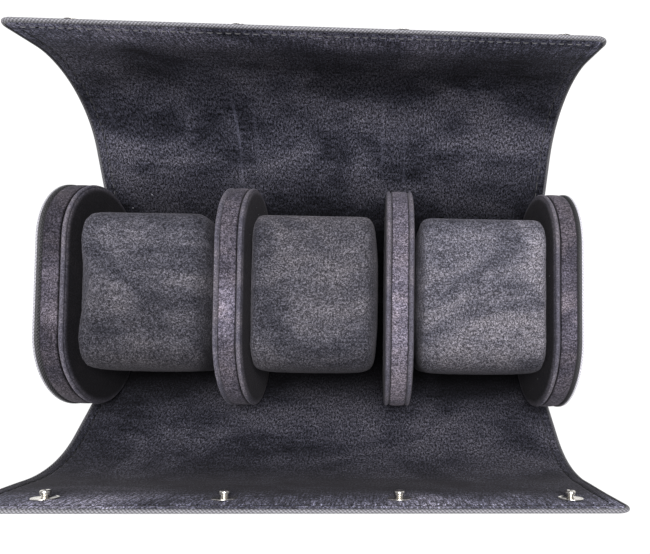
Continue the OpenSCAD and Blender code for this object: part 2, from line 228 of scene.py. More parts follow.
def edge_levels(close, far, step):
    """Distances from an edge: the close ones as given, then even steps of about step up to far."""
    close = np.asarray(close, float)
    more = np.linspace(close[-1], far, max(2, int(round((far - close[-1]) / step)) + 1))[1:]
    return np.concatenate([close, more])


def at_edge(s, end):
    """Whether a stretch that stops at s is the one with the flap's edge."""
    return s >= end - 0.01


def plan_grid(s0, s1, end, close, step_x, step_s):
    """Grid of (x, s, distance from the edge) over a stretch of the wrap. Its columns lie at set
    distances from the wrap's two ends, and on the edge stretch its last rows at the same distances
    from the flap's edge. There the square corner is pulled into a round one: a point (a, b) from
    the corner's centre goes to (a, b) max(a, b) / |(a, b)|, so that the lines at equal distance
    become arcs."""
    side = edge_levels(close, HALF_W, step_x)
    x = np.concatenate([-(HALF_W - side), (HALF_W - side)[::-1][1:]])
    last = at_edge(s1, end)
    if last:
        rim = edge_levels(close, end - s0, step_s)
        s = (end - rim)[::-1]
    else:
        s = np.linspace(s0, s1, max(2, int(round((s1 - s0) / step_s)) + 1))
    x, s = np.meshgrid(x, s)
    dx, ds = HALF_W - np.abs(x), (end - s if last else np.full(s.shape, NO_EDGE))
    edge = np.minimum(dx, ds)
    corner = (dx < CORNER_R) & (ds < CORNER_R)
    a, b = CORNER_R - dx, CORNER_R - ds
    pull = np.where(corner, np.maximum(a, b) / np.maximum(np.hypot(a, b), 1e-9), 1.0)
    x = np.where(corner, np.sign(x) * (HALF_W - CORNER_R + a * pull), x)
    s = np.where(corner, end - CORNER_R + b * pull, s)
    return x, s, edge, dx, ds


def roll_levels(r):
    """Distances from an edge that is rolled to radius r, a sixth of a quarter turn apart."""
    return r * (1 - np.cos(np.linspace(0, math.pi / 2, 7)))


EDGE_R = 0.75         # half the wrap's thickness at its edges, where it is pared thin
HEM_IN = 1.15         # where the hem starts to dip under the lining
LINING_IN = 1.3       # the lining's distance from the edge
HEM_END = 1.9
HEM_SINK = ([EDGE_R, HEM_IN, LINING_IN, 1.5, HEM_END], [0, 0, 0.25, 0.6, 0.65])     # edge, depth
LINING_SINK = ([LINING_IN, 1.5, 1.9, 2.6, 3.5], [0.5, 0.3, 0.1, 0.02, 0.0])
PARED = 8.5           # width of the band in which the wrap thins towards its edge


def wrap_depth(edge):
    """The wrap's thickness at a distance from its edge: a smooth step from 2 EDGE_R to WRAP_T."""
    t = np.clip((edge - EDGE_R) / PARED, 0, 1)
    return 2 * EDGE_R + (WRAP_T - 2 * EDGE_R) * t * t * (3 - 2 * t)


def leather_piece(name, flap, s0, s1):
    """The outer leather of a stretch: over the outside, which thins evenly towards the edges, round
    each edge on a half circle, and back on the lining's side as a narrow hem, whose cut edge dips
    under the lining."""
    end = FLAPS[flap].end
    close = np.concatenate([roll_levels(EDGE_R), HEM_SINK[0][1:],
                            [3.0, 4.2, 4.6, STITCH_AT, 5.4, 5.8, 7.0, 8.2, 9.4]])
    x, s, edge, dx, ds = plan_grid(s0, s1, end, close, 6.0, 2.5)
    rolled = np.sqrt(np.maximum(0, EDGE_R ** 2 - (EDGE_R - np.minimum(edge, EDGE_R)) ** 2))
    groove = 0.3 * np.exp(-((edge - STITCH_AT) / 0.45) ** 2)
    outer = np.where(edge < EDGE_R, EDGE_R + rolled, wrap_depth(edge) - groove)
    inner = np.where(edge < EDGE_R, EDGE_R - rolled, np.interp(edge, *HEM_SINK))
    rows, columns = x.shape
    quads = grid_quads(rows, columns)
    hem = quads[(edge.ravel()[quads] <= HEM_END + 0.001).all(1)]
    outside, inside = wrap_point(flap, x, s, outer), wrap_point(flap, x, s, inner)
    away = wrap_point(flap, x, s, outer + 1) - outside
    arc = EDGE_R * np.arccos(np.clip(1 - edge / EDGE_R, -1, 1))
    folded = np.where(edge < EDGE_R, arc, EDGE_R * math.pi / 2 + edge - EDGE_R)
    near_side = dx <= ds
    uv = [np.stack([np.where(near_side, np.sign(x) * (HALF_W - way * folded), x),
                    np.where(near_side, s, end - way * folded)], -1).reshape(-1, 2) * MM
          for way in (1, -1)]
    points = np.concatenate([outside.reshape(-1, 3), inside.reshape(-1, 3)])
    quads = np.concatenate([quads, hem[:, ::-1] + rows * columns])
    outward = np.concatenate([away.reshape(-1, 3), -away.reshape(-1, 3)])
    return thickened(new_piece(name, points, quads, uv=np.concatenate(uv), outward=outward))


def lining_piece(name, flap, s0, s1):
    """The suede lining of a stretch: level with the face, rounded down into the gap beside the hem,
    and drawn in by the row of stitches."""
    close = [*LINING_SINK[0], 4.1, 4.5, 4.8, STITCH_AT, 5.2, 5.5, 5.9, 6.8]
    x, s, edge, dx, ds = plan_grid(s0, s1, FLAPS[flap].end, close, 4.0, 2.0)
    groove = 0.38 * np.exp(-((edge - STITCH_AT) / 0.5) ** 2)
    depth = np.interp(edge, *LINING_SINK) + groove
    face = wrap_point(flap, x, s, depth)
    away = face - wrap_point(flap, x, s, depth + 1)
    return thickened(new_piece(name, face, grid_quads(*x.shape), uv=np.stack([x, s], -1) * MM,
                               outward=away))


def stitch_places(s0, s1, end, inset, pitch):
    """Middles of the stitches on a stretch, as (x, s, dx, ds): they follow both ends of the wrap at
    the inset, and on the edge stretch also the flap's edge."""
    run = np.arange(s0 + pitch / 2, min(s1, end - inset - pitch / 2), pitch)
    sides = [np.stack([np.full(run.shape, w * (HALF_W - inset)), run, 0 * run, 1 + 0 * run], -1)
             for w in (-1, 1)]
    if at_edge(s1, end):
        half = HALF_W - inset - pitch * 0.6
        across = np.linspace(-half, half, int(round(2 * half / pitch)) + 1)
        sides.append(np.stack([across, np.full(across.shape, end - inset), 1 + 0 * across,
                               0 * across], -1))
    return np.concatenate(sides)


def seam_piece(name, flap, s0, s1, inset, pitch, length, thread):
    """The stitches of a stretch, on the lining and on the leather: each is a thread of round
    section that thins towards its two ends and dips there into its holes."""
    places = stitch_places(s0, s1, FLAPS[flap].end, inset, pitch)[:, None, None, :]
    l = np.array([-1.0, -0.72, 0.0, 0.72, 1.0])[None, :, None]
    angle = np.linspace(0, 2 * math.pi, 7)[:-1][None, None, :]
    thick = thread / 2 * np.array([0.35, 0.85, 1.0, 0.85, 0.35])[None, :, None]
    across, off = thick * np.cos(angle), thick * np.sin(angle)
    x = places[..., 0] + places[..., 2] * l * length / 2 + places[..., 3] * across
    s = places[..., 1] + places[..., 3] * l * length / 2 - places[..., 2] * across
    dip = 0.3 * l ** 4
    count, rings, sides = len(places), l.size, angle.size
    tube = grid_quads(rings, sides, close_columns=True)
    caps = np.array([[0, 1, 2, 3], [0, 3, 4, 5], [27, 26, 25, 24], [29, 28, 27, 24]])
    shape = np.concatenate([tube, caps])
    quads = (shape[None] + rings * sides * np.arange(count)[:, None, None]).reshape(-1, 4)
    sunk = wrap_point(flap, x, s, 0.12 + dip - off)
    proud = wrap_point(flap, x, s, wrap_depth(inset) - 0.05 - dip - off)
    points = np.concatenate([sunk.reshape(-1, 3), proud.reshape(-1, 3)])
    return new_piece(name, points, np.concatenate([quads, quads + rings * sides * count]),
                     merge=1e-8)


def oval(flat_points, arc_points):
    """The outline of a disc, from the middle of its underside round the front, the top and the
    back: the centre line's y, the unit direction (y, z) outwards, and the distance round the
    outline."""
    across = np.linspace(-DISC_FLAT, DISC_FLAT, flat_points)
    down = np.linspace(math.pi / 2, -math.pi / 2, arc_points)
    y = np.concatenate([across, np.full(arc_points - 2, DISC_FLAT), across[::-1],
                        np.full(arc_points - 2, -DISC_FLAT)])
    a = np.concatenate([np.full(flat_points, math.pi / 2), down[1:-1],
                        np.full(flat_points, -math.pi / 2), down[1:-1] - math.pi])
    middle = flat_points + arc_points - 2 + flat_points // 2
    y, a = np.roll(y, -middle), np.roll(a, -middle)
    direction = np.stack([np.cos(a), np.sin(a)], -1)
    rim = np.stack([y, 0 * y], -1) + DISC_R * direction
    run = np.concatenate([[0], np.cumsum(np.hypot(*np.diff(rim, axis=0).T))])
    return y, direction, run


def round_the_disc(name, outline, r, x, across, close_rows=False):
    """A closed cover: a profile (distance r from the centre line, x) carried round a disc's
    outline. Across is the distance along the profile, for the texture."""
    y, direction, run = outline
    points = np.stack([x + 0 * y, y + r * direction[:, 0],
                       WRAP_T + DISC_R + r * direction[:, 1]], -1) * MM
    uv = np.stack(np.broadcast_arrays(run[None], across), -1) * MM
    quads = grid_quads(*points.shape[:2], close_rows=close_rows, close_columns=True)
    return new_piece(name, points, quads, uv=uv, around=DISC_ROUND)


CROWN = 0.35          # how far the middle of a suede panel stands out
# Profiles of a suede panel and of a leather one, from the seam with the strip over the rim and the
# face: distance from the centre line, and depth under the panel's outer side
PANEL_IN = np.array([(27.0, PANEL_T), (29.15, PANEL_T), (29.25, 2.2), (29.5, 2.05), (29.85, 1.75),
                     (29.98, 1.35), (29.9, 0.95), (29.6, 0.65), (29.2, 0.5), (28.95, 0.62),
                     (28.75, 0.5), (28.4, 0.3), (27.6, 0.16), (26.0, 0.08), (22.0, 0.02),
                     (15.0, 0.0), (8.0, 0.0), (0.0, 0.0)])
PANEL_OUT = np.array([(27.0, PANEL_T), (29.15, PANEL_T), (29.3, 2.2), (29.6, 2.02), (29.88, 1.75),
                      (29.99, 1.4), (30.0, 0.9), (30.0, 0.4), (29.95, 0.2), (29.8, 0.08),
                      (29.5, 0.02), (29.0, 0.0), (28.0, 0.0), (26.0, 0.0), (22.0, 0.0),
                      (15.0, 0.0), (8.0, 0.0), (0.0, 0.0)])
# Profile of a strip: x from the disc's middle, and distance from its centre line
STRIP = np.array([(-3.9, 28.4), (-3.62, 29.1), (-3.4, 29.5), (-3.1, 29.68), (-2.4, 29.8),
                  (-1.2, 29.88), (0.0, 29.9), (1.2, 29.88), (2.4, 29.8), (3.1, 29.68), (3.4, 29.5),
                  (3.62, 29.1), (3.9, 28.4)])
STRIP_BACK = 26.0     # the inner side of the ring that closes a strip


def panel_piece(name, face_x, facing, outer):
    """A disc's covered panel: a narrow rolled rim, and on a suede panel a fold beside it and a
    slightly crowned face. It is closed behind by a flat."""
    r, depth = (PANEL_OUT if outer else PANEL_IN).T
    depth = depth - (0.0 if outer else CROWN) * np.clip(1 - (r / 27.5) ** 2, 0, 1)
    r, depth = np.concatenate([[0.0], r]), np.concatenate([[PANEL_T], depth])
    surface = np.concatenate([[0], np.cumsum(np.hypot(np.diff(r), np.diff(depth)))])
    x = face_x - facing * depth
    return round_the_disc(name, oval(15, 49), r[:, None], x[:, None], surface[:, None])


def strip_piece(name, middle, joint):
    """The strip round a disc between its panels: a shallow arch whose sides dive into the seams,
    with a small step where its two ends meet. Inside it is closed by a ring."""
    outline = y, direction, run = oval(39, 49)
    across, height = STRIP.T
    r = height[:, None] + 0 * run[None]
    on_top = (direction[:, 1] > 0.999)[None]
    step = (np.exp(-((y[None] - joint) / 0.5) ** 2) * 0.45
            + 0.12 * np.clip((y[None] - joint) / 1.5, -1, 0) ** 2)
    r = r - np.where(on_top & (np.abs(y[None] - joint) < 4), step, 0)
    ring = np.full((1, len(y)), STRIP_BACK)
    x = (np.concatenate([across[:1], across, across[-1:]]) + middle)[:, None]
    return round_the_disc(name, outline, np.concatenate([ring, r, ring]), x, x, close_rows=True)


def pillow_form(size, radius, edge):
    """A pillow before it is filled: a rounded rectangle in y and z, carried out of each flat end
    along a quarter circle of radius edge and straight between the two. The ends shrink evenly
    towards their middle."""
    width, length, height = size
    quarter = np.linspace(0, math.pi / 2, 9)
    angle = np.concatenate([quarter + k * math.pi / 2 for k in range(4)])
    corner = np.repeat([(1, 1), (-1, 1), (-1, -1), (1, -1)], len(quarter), axis=0)
    outline = (corner * [length / 2 - radius, height / 2 - radius]
               + np.stack([np.cos(angle), np.sin(angle)], -1) * radius)
    a = np.linspace(0, math.pi / 2, 5)
    shrink = 1 - (edge / (height / 2)) * (1 - np.sin(a))
    scale = np.concatenate([[0, 0.5], shrink, [1.0], shrink[::-1], [0.5, 0]])
    out = edge * (1 - np.cos(a))
    x = np.concatenate([[-width / 2] * 2, -width / 2 + out, [0.0], (width / 2 - out)[::-1],
                        [width / 2] * 2])
    points = np.stack([x[:, None] + 0 * outline[None, :, 0], scale[:, None] * outline[None, :, 0],
                       scale[:, None] * outline[None, :, 1]], -1)
    return points, grid_quads(len(x), len(outline), close_columns=True)


# Profiles of the snaps: radius and height, from the base up
STUD = [(0, -0.25), (3.9, -0.25), (4.2, -0.1), (4.32, 0.1), (4.28, 0.28), (4.1, 0.38), (3.85, 0.33),
        (3.6, 0.24), (3.2, 0.2), (2.5, 0.24), (2.1, 0.33), (1.8, 0.5), (1.45, 0.73), (1.2, 0.93),
        (1.1, 1.14), (1.1, 1.26), (1.4, 1.32), (1.66, 1.5), (1.78, 1.84), (1.78, 2.2), (1.72, 2.5),
        (1.52, 2.72), (1.22, 2.83), (0.98, 2.85), (0.82, 2.77), (0.68, 2.64), (0.4, 2.58),
        (0, 2.56)]
CAP = [(0, 1.6), (1.2, 1.58), (2.6, 1.36), (4.0, 0.96), (5.2, 0.45), (5.85, 0.1), (6.05, -0.1),
       (6.2, -0.02), (6.25, -0.25), (5.9, -0.35), (0, -0.35)]
SOCKET = [(2.0, -0.1), (2.0, 0.42), (2.06, 0.55), (2.2, 0.6), (2.6, 0.58), (2.85, 0.48),
          (2.95, 0.36), (3.0, 0.28), (3.2, 0.24), (3.5, 0.22), (3.65, 0.14), (3.65, -0.1)]
TURN_STEPS = 40
STUD_LEAN = np.array([0.0, 0.0, -0.09])       # how the studs stand off square to their flap


def turned_piece(name, profile, places, axes):
    """A profile turned round an axis, once at each place."""
    r, h = np.array(profile, float).T
    a = np.linspace(0, 2 * math.pi, TURN_STEPS + 1)[:-1]
    ring = np.stack([r[:, None] * np.cos(a), r[:, None] * np.sin(a), h[:, None] + 0 * a], -1)
    quads = grid_quads(len(r), TURN_STEPS, close_rows=r[0] > 0, close_columns=True)
    points, faces = [], []
    for number, (point, axis) in enumerate(zip(places, axes)):
        across = np.array([1.0, 0, 0])
        frame_of = np.stack([across, np.cross(axis, across), axis])
        points.append((point + ring @ frame_of).reshape(-1, 3) * MM)
        faces.append(quads + number * len(r) * TURN_STEPS)
    piece = new_piece(name, np.concatenate(points), np.concatenate(faces))
    rounded(piece)
    return piece


def snap_row(flap, at, depth, way):
    """Places of the snaps at a distance along a flap and a depth, and their axes: down into the
    flap where way is 1, and up out of it where way is -1."""
    at, depth = np.full(len(SNAP_X), at), np.full(len(SNAP_X), depth)
    on = wrap_point(flap, SNAP_X, at, depth) / MM
    return on, wrap_point(flap, SNAP_X, at, depth + way) / MM - on


# ---- shader maths
def maths(operation, swapped=False):
    """A method that joins a wire, and what else it is given, in a maths node."""
    def method(*values):
        ordered = values[::-1] if swapped else values
        return values[0].paint.node("ShaderNodeMath", {"operation": operation}, ordered)

    return method


class Wire:
    """A node's output, so that shader maths is written as ordinary expressions."""

    def __init__(self, paint, socket):
        self.paint, self.socket = paint, socket

    __add__ = __radd__ = maths("ADD")
    __sub__, __rsub__ = maths("SUBTRACT"), maths("SUBTRACT", swapped=True)
    __mul__ = __rmul__ = maths("MULTIPLY")
    __pow__, __abs__, sine = maths("POWER"), maths("ABSOLUTE"), maths("SINE")
    __gt__, __lt__, most = maths("GREATER_THAN"), maths("LESS_THAN"), maths("MAXIMUM")

    def rise(self, low, high):
        """0 below low and 1 above high, smooth between."""
        settings = {"interpolation_type": "SMOOTHSTEP", "clamp": True}
        return self.paint.node("ShaderNodeMapRange", settings, (self, low, high, 0.0, 1.0))


class Paint:
    """A material's node tree. node() adds any node."""

    def __init__(self, name):
        self.material = bpy.data.materials.new(name)
        self.material.use_nodes = True
        self.tree = self.material.node_tree
        self.shader = self.tree.nodes["Principled BSDF"]

    def feed(self, socket, value):
        """Gives an input a value or a link."""
        if isinstance(value, Wire):
            self.tree.links.new(value.socket, socket)
        else:
            socket.default_value = value

    def node(self, kind, settings=None, values=(), out=0):
        """Adds a node: settings first, then its inputs, by order or by name. Gives the output asked
        for."""
        made = self.tree.nodes.new(kind)
        for key, value in (settings or {}).items():
            setattr(made, key, value)
        for key, value in values.items() if isinstance(values, dict) else enumerate(values):
            self.feed(made.inputs[key], value)
        return Wire(self, made.outputs[out])

    def place(self, kind="Object"):
        return self.node("ShaderNodeTexCoord", out=kind)

    def stretched(self, where, scale):
        return self.node("ShaderNodeMapping", {}, {"Vector": where, "Scale": scale})

    def noise(self, where, size, detail=2.0, rough=0.5, warp=0.0):
        """Noise from 0 to 1 whose features are about size metres long."""
        return self.node("ShaderNodeTexNoise", {}, {
            "Vector": where, "Scale": 1 / size, "Detail": detail, "Roughness": rough,
            "Distortion": warp})

    def parts(self, where):
        """The three parts of a place."""
        split = self.node("ShaderNodeSeparateXYZ", {}, (where,)).socket.node
        return [Wire(self, o) for o in split.outputs]

    def blend(self, factor, low, high, how="MIX"):
        """A colour between low and high."""
        settings = {"data_type": "RGBA", "blend_type": how, "clamp_factor": True}
        return self.node("ShaderNodeMix", settings, {0: factor, 6: low, 7: high}, out=2)

    def shaded(self, colour, value):
        """A colour multiplied by a value."""
        grey = self.node("ShaderNodeCombineXYZ", {}, (value, value, value))
        return self.blend(1.0, colour, grey, "MULTIPLY")

    def specks(self, where, size, share, radius):
        """1 on a small dot in a share of the cells of a Voronoi pattern, else 0."""
        cells = self.node("ShaderNodeTexVoronoi", {}, {"Vector": where, "Scale": 1 / size},
                          out="Color")
        chosen = self.parts(cells)[0] > 1 - share
        return chosen * (Wire(self, cells.socket.node.outputs["Distance"]) < radius)

    def bump(self, height, distance, strength):
        return self.node("ShaderNodeBump", {}, {"Strength": strength, "Distance": distance,
                                                "Height": height})

    def set(self, **sockets):
        """Gives the shader's own inputs a value or a link. An underscore stands for a space."""
        for name, value in sockets.items():
            self.feed(self.shader.inputs[name.replace("_", " ")], value)
        return self.material


def tint(colour, *factors):
    """A colour as RGBA, brightened by one factor or by one for each channel."""
    return (*(part * factor for part, factor in zip(colour, factors * (3 // len(factors)))), 1.0)


COOL, WARM = (0.94, 0.97, 1.12), (1.03, 0.99, 0.99)


def suede(name, colour, cloudy, grain, offset, cloud_size, shade, sheet=False):
    """Microfibre suede: nap brushed light and dark in soft patches, a coarse speckle of fibre ends,
    faint cross strokes, cool and warm casts and a few specks of lint. shade(paint, value) adds what
    a piece has of its own. On a sheet the speckle follows the cloth and is longer along the
    flap."""
    p = Paint(name)
    where = p.node("ShaderNodeVectorMath", {"operation": "ADD"},
                   (p.place(), (offset, offset * 0.7, offset * 0.3)))
    clouds = p.noise(p.stretched(where, (0.8, 1.25, 1.0)), cloud_size, 3.0, 0.55, 0.9)
    small = p.noise(p.stretched(where, (1.0, 1.6, 1.3)), cloud_size * 0.28, 3.0, 0.6, 0.6)
    strokes = p.noise(p.stretched(where, (1.0, 9.0, 5.0)), 0.009, 3.0, 0.65)
    close = p.stretched(p.place("UV"), (1.0, 0.6, 1.0)) if sheet else where
    fleck = p.noise(close, 0.0008, 3.0, 0.85)
    fibre = p.noise(close, 0.00042, 1.0, 0.5)
    nap = clouds.rise(0.38, 0.66) * 0.62 + small.rise(0.3, 0.7) * 0.24
    nap = nap + strokes.rise(0.35, 0.65) * 0.14
    pile = fleck.rise(0.38, 0.68) * 0.65 + fibre.rise(0.38, 0.7) * 0.35
    value = 1.0 + (nap - 0.5) * (2 * cloudy)
    value = shade(p, value * (1.0 + (pile ** 1.4 - 0.34) * (2 * grain)))
    base = p.shaded(p.blend(nap, tint(colour, *COOL), tint(colour, *WARM)), value)
    lint = p.specks(where, 0.0052, 0.11, 0.05)
    base = p.blend(lint * 0.6, base, (0.42, 0.42, 0.45, 1.0))
    height = fleck * 0.7 + fibre * 0.3 + small * 0.6
    return p.set(Base_Color=base, Roughness=0.95, Specular_IOR_Level=0.08, Sheen_Weight=0.07,
                 Sheen_Roughness=0.5, Sheen_Tint=(0.95, 0.9, 1.0, 1.0),
                 Normal=p.bump(height, 0.0006, 0.5))


# Lines pressed into the back flap's lining: x in mm, and strength
PRESS_LINES = ((-98.5, 0.35), (-41.6, 0.9), (-33.0, 0.3), (27.2, 0.6), (37.8, 0.5))


def back_shade(p, value):
    """The back flap's lining: painted light makes it 1.4 times lighter than the plain suede, and it
    has lines that the discs press into it low down, each broken and fading out at both ends."""
    x, y, z = p.parts(p.place())
    low = z.rise(0.012, 0.019) * (1.0 - z.rise(0.03, 0.046)) * (y > 0.0)
    wander = (p.noise(p.place(), 0.02, 2.0) - 0.5) * 0.0012
    lines = [(1.0 - abs(x + wander - at * MM).rise(0.0002, 0.0011)) * strength
             for at, strength in PRESS_LINES]
    line = reduce(Wire.most, lines)
    broken = p.noise(p.place(), 0.008, 2.0).rise(0.36, 0.6)
    # painted light: the whole back lining is made 1.4 times lighter
    return wall_shade(p, value * 1.4 + line * low * broken, BACK_END, 1.9)


def wall_shade(p, value, end, rub):
    """A lining: painted shade darkens it towards the bottom of the roll, in the gaps round the
    pillows, and in patches along a bend, and it is rubbed light and grainy along the flap's edge."""
    x, y, z = p.parts(p.place())
    u, v, w = p.parts(p.place("UV"))
    tip = v.rise((end - 24) * MM, (end - 10) * MM)
    grain = p.noise(p.stretched(p.place("UV"), (1.0, 0.12, 1.0)), 0.0009, 2.0, 0.7)
    grain = grain.rise(0.38, 0.66) - 0.42
    rubbed = tip * rub * (1.0 + grain * 1.6) + 0.9 * v.rise((end - 6) * MM, (end - 4.5) * MM)
    # painted shade in patches along the bend, where the flap curves over the pillows
    bend = v.rise(0.098, 0.108) * (1.0 - v.rise(0.116, 0.126))
    bend = bend * p.noise(p.stretched(p.place(), (0.7, 1.4, 1.4)), 0.03, 2.0).rise(0.48, 0.62)
    # painted shade: darker towards the bottom of the roll, in the shadowed gaps round the pillows
    return value * (0.08 + 0.92 * z.rise(0.006, 0.03)) * (1.0 + rubbed) * (1.0 - 0.5 * bend)


def front_shade(p, value):
    """The front flap's lining, made a little darker than the plain suede as painted shade."""
    # painted shade: the whole front lining is made a little darker
    return wall_shade(p, value * 0.92, FRONT_END, 4.5)


def rim_shade(p, value):
    """A disc panel: its rolled rim is made lighter, partly wear and partly a painted sheen, and its
    flat face, which rubs on a pillow, is darkened by painted shade from the narrow gap beside the
    pillow."""
    u, v, w = p.parts(p.place("UV"))
    # painted shade on the flat face beside the pillow; the rim is lighter, partly wear and partly
    # painted sheen
    return value * (1.15 - 1.05 * v.rise(0.0312, 0.0345))


def strip_shade(p, value, middle):
    """The strip of the disc whose middle is given: a stretch of its top is made lighter, partly
    wear and partly a painted highlight, and its seams are darkened by painted shade."""
    x, y, z = p.parts(p.place())
    # painted shade in the seams on both sides of the strip
    value = value * (1.0 - 0.85 * abs(x - middle * MM).rise(0.0028, 0.0035))
    # painted highlight, partly real wear, on a stretch of the strip's top
    patch = 1.0 - abs(y + 0.005).rise(0.005, 0.022)
    patch = patch * p.noise(p.place(), 0.02, 2.0).rise(0.3, 0.6)
    return value * (0.72 + 0.9 * patch)


def pillow_shade(p, value, lighter):
    """A pillow: painted shade darkens its front end and its underside, and painted light makes it
    lighter or darker towards the back."""
    x, y, z = p.parts(p.place())
    # painted light: lighter or darker towards the back, by a set amount for each pillow
    value = value * (1.0 + lighter * (y.rise(-0.02, 0.022) - 0.5))
    # painted shade on the pillow's front end
    value = value * (0.5 + 0.5 * (y + z * 0.2).rise(-0.023, -0.006))
    # painted shade towards the pillow's underside
    return value * (0.25 + 0.75 * z.rise(0.03, 0.055))


def cross_grain(name, colour, end=None):
    """Leather pressed with a fine crosswise grain: two sets of close diagonal lines, uneven in
    depth, with a dull coat. With end, a flap's length, the turned edge is made lighter as a painted
    reflection and its grain shows more. Without, it is a disc's panel, kept darker, with a painted
    reflection along the arris of its rim, stronger on the right one."""
    p = Paint(name)
    u, v, w = p.parts(p.place("UV"))
    bend = (p.noise(p.place(), 0.006, 2.0) - 0.5) * 0.0012
    one = ((u + v + bend) * (2 * math.pi / 0.00125)).sine() * 0.5 + 0.5
    two = ((u - v * 1.6 - bend) * (2 * math.pi / 0.0017)).sine() * 0.5 + 0.5
    uneven = p.noise(p.place(), 0.0011, 2.0, 0.6)
    ridge = (one * 0.65 + two * 0.35) * (0.6 + uneven * 0.8)
    rub = p.noise(p.place(), 0.03, 3.0, 0.6).rise(0.45, 0.75)
    value = 0.55 + ridge * 0.8 + rub * 0.15
    if end:
        # painted reflection: the flap's turned edge is made lighter
        value = value * (1.0 + (0.4 + 1.4 * ridge) * (v - (end - 1.2) * MM).rise(0.0, 0.0004))
    else:
        x, y, z = p.parts(p.place())
        # painted reflection along the arris of the rim, stronger on the right disc; the rest is
        # kept darker
        arris = v.rise(0.0308, 0.0312) * (1.0 - v.rise(0.0319, 0.0323))
        value = value * (0.4 + arris * (4.0 + 2.5 * (x > 0.0)))
    rough = 0.56 - ridge * 0.12 + uneven * 0.1
    return p.set(Base_Color=p.shaded(tint(colour, 1.0), value), Roughness=rough,
                 Specular_IOR_Level=0.5, Normal=p.bump(ridge + uneven * 0.4, 0.00022, 0.8))


def thread_finish(name, colour):
    """Bonded thread: a fine twist along its length, a little glossy, and much darker in the rows
    along the wrap's two ends."""
    p = Paint(name)
    x, y, z = p.parts(p.place())
    twist = ((x + y * 0.8 + z * 0.6) * (2 * math.pi / 0.0005)).sine() * 0.5 + 0.5
    worn = p.noise(p.place(), 0.004, 2.0)
    base = p.blend(twist * 0.5 + worn * 0.4, tint(colour, 0.7), tint(colour, 1.35))
    # the rows along the wrap's two ends are made much darker
    base = p.blend(abs(x) > (HALF_W - 6) * MM, base, tint(colour, 0.12))
    return p.set(Base_Color=base, Roughness=0.55, Normal=p.bump(twist, 0.0001, 0.6))


def nickel(name, colour):
    """Plated snap metal: fine turning lines and small scuffs in the roughness."""
    p = Paint(name)
    scuff = p.noise(p.stretched(p.place(), (1.0, 1.0, 6.0)), 0.0008, 3.0, 0.6)
    cloud = p.noise(p.place(), 0.004, 2.0)
    base = p.blend(cloud, tint(colour, 0.86), tint(colour, 1.08))
    return p.set(Base_Color=base, Metallic=1.0, Roughness=0.2 + scuff * 0.16,
                 Normal=p.bump(scuff, 0.00004, 0.35))


# ---- settings
def colour_setting(name, description, default):
    return FloatVectorProperty(name=name, description=description, subtype="COLOR", size=3, min=0,
                               max=1, default=default)


def size_setting(name, description, default, low, high):
    return FloatProperty(name=name, description=description, default=default, min=low, max=high)


class LeatherSettings(bpy.types.PropertyGroup):
    colour: colour_setting("Leather colour", "Colour of the outer leather", (0.085, 0.083, 0.092))
    thread: colour_setting("Thread colour", "Colour of the stitching", (0.55, 0.54, 0.56))
    stitch_pitch: size_setting("Stitch pitch", "Distance from one stitch to the next, in mm",
                               3.3, 2.0, 6.0)
    stitch_length: size_setting("Stitch length", "Length of the thread that shows, in mm",
                                2.3, 1.0, 5.0)
    stitch_inset: size_setting("Stitch inset", "Distance of the stitches from the edge, in mm",
                               STITCH_AT, 3.5, 9.0)
    thread_size: size_setting("Thread size", "Thickness of the thread, in mm", 0.4, 0.3, 1.0)


class SuedeSettings(bpy.types.PropertyGroup):
    lining: colour_setting("Lining colour", "Colour of the lining", (0.043, 0.0425, 0.053))
    disc: colour_setting("Disc colour", "Colour of the discs' panels", (0.105, 0.098, 0.112))
    strip: colour_setting("Strip colour", "Colour of the strips round the discs",
                          (0.118, 0.105, 0.122))
    pillow: colour_setting("Pillow colour", "Colour of the pillows", (0.080, 0.077, 0.086))


class PillowSettings(bpy.types.PropertyGroup):
    pressure: size_setting("Filling pressure", "How hard the foam presses outwards", 4.0, 0.0, 12.0)
    frames: IntProperty(name="Settling steps", description="Steps of the cloth simulation",
                        default=20, min=5, max=60)
    swell: size_setting("Largest swell", "How far the cover may move outwards, in mm",
                        2.0, 0.0, 6.0)


class SnapSettings(bpy.types.PropertyGroup):
    colour: colour_setting("Snap colour", "Colour of the plated snaps", (0.80, 0.77, 0.72))


class StageSettings(bpy.types.PropertyGroup):
    lens: size_setting("Lens", "Focal length of the camera, in mm", 27.14, 10, 200)
    lamp: size_setting("Lamp strength", "Power of the large lamp overhead, in watts",
                       17.0, 0.0, 200.0)
    sky: size_setting("Surrounding light", "Strength of the even light from all round",
                      0.3, 0.0, 3.0)


class CaseSettings(bpy.types.PropertyGroup):
    leather: PointerProperty(type=LeatherSettings)
    suede: PointerProperty(type=SuedeSettings)
    pillow: PointerProperty(type=PillowSettings)
    snap: PointerProperty(type=SnapSettings)
    stage: PointerProperty(type=StageSettings)


# ---- operators
# Each disc's name, the y at which its strip's ends meet, and the painted light on its strip
DISCS = (("left_disc", -14.5, 0.6), ("divider_1", -16.5, 1.05), ("divider_2", -12.0, 1.7),
         ("right_disc", -17.5, 0.92))
# Painted light on each pillow: how much lighter it is made, and how much lighter towards the back
PILLOW_PAINTED_LIGHT = ((1.0, 0.5), (0.95, -0.1), (1.62, 0.25))
COVER_IN = 0.3        # how much smaller a pillow's cover starts, on each side, than it is filled


def laid_on(flap, layer, make, material, slot):
    """Makes a layer's piece on each stretch of a flap, puts the material on it and bakes its
    transform. Gives each piece with its stretch and its number."""
    for number, part in enumerate(FLAPS[flap].pieces, 1):
        piece = make(f"{flap}_{layer}_{number}", flap, part.s0, part.s1)
        finished(piece, material, slot)
        ends = wrap_point(flap, np.zeros(2), np.array([part.start, part.stop]), np.zeros(2))
        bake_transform(piece)
        yield piece, part, number


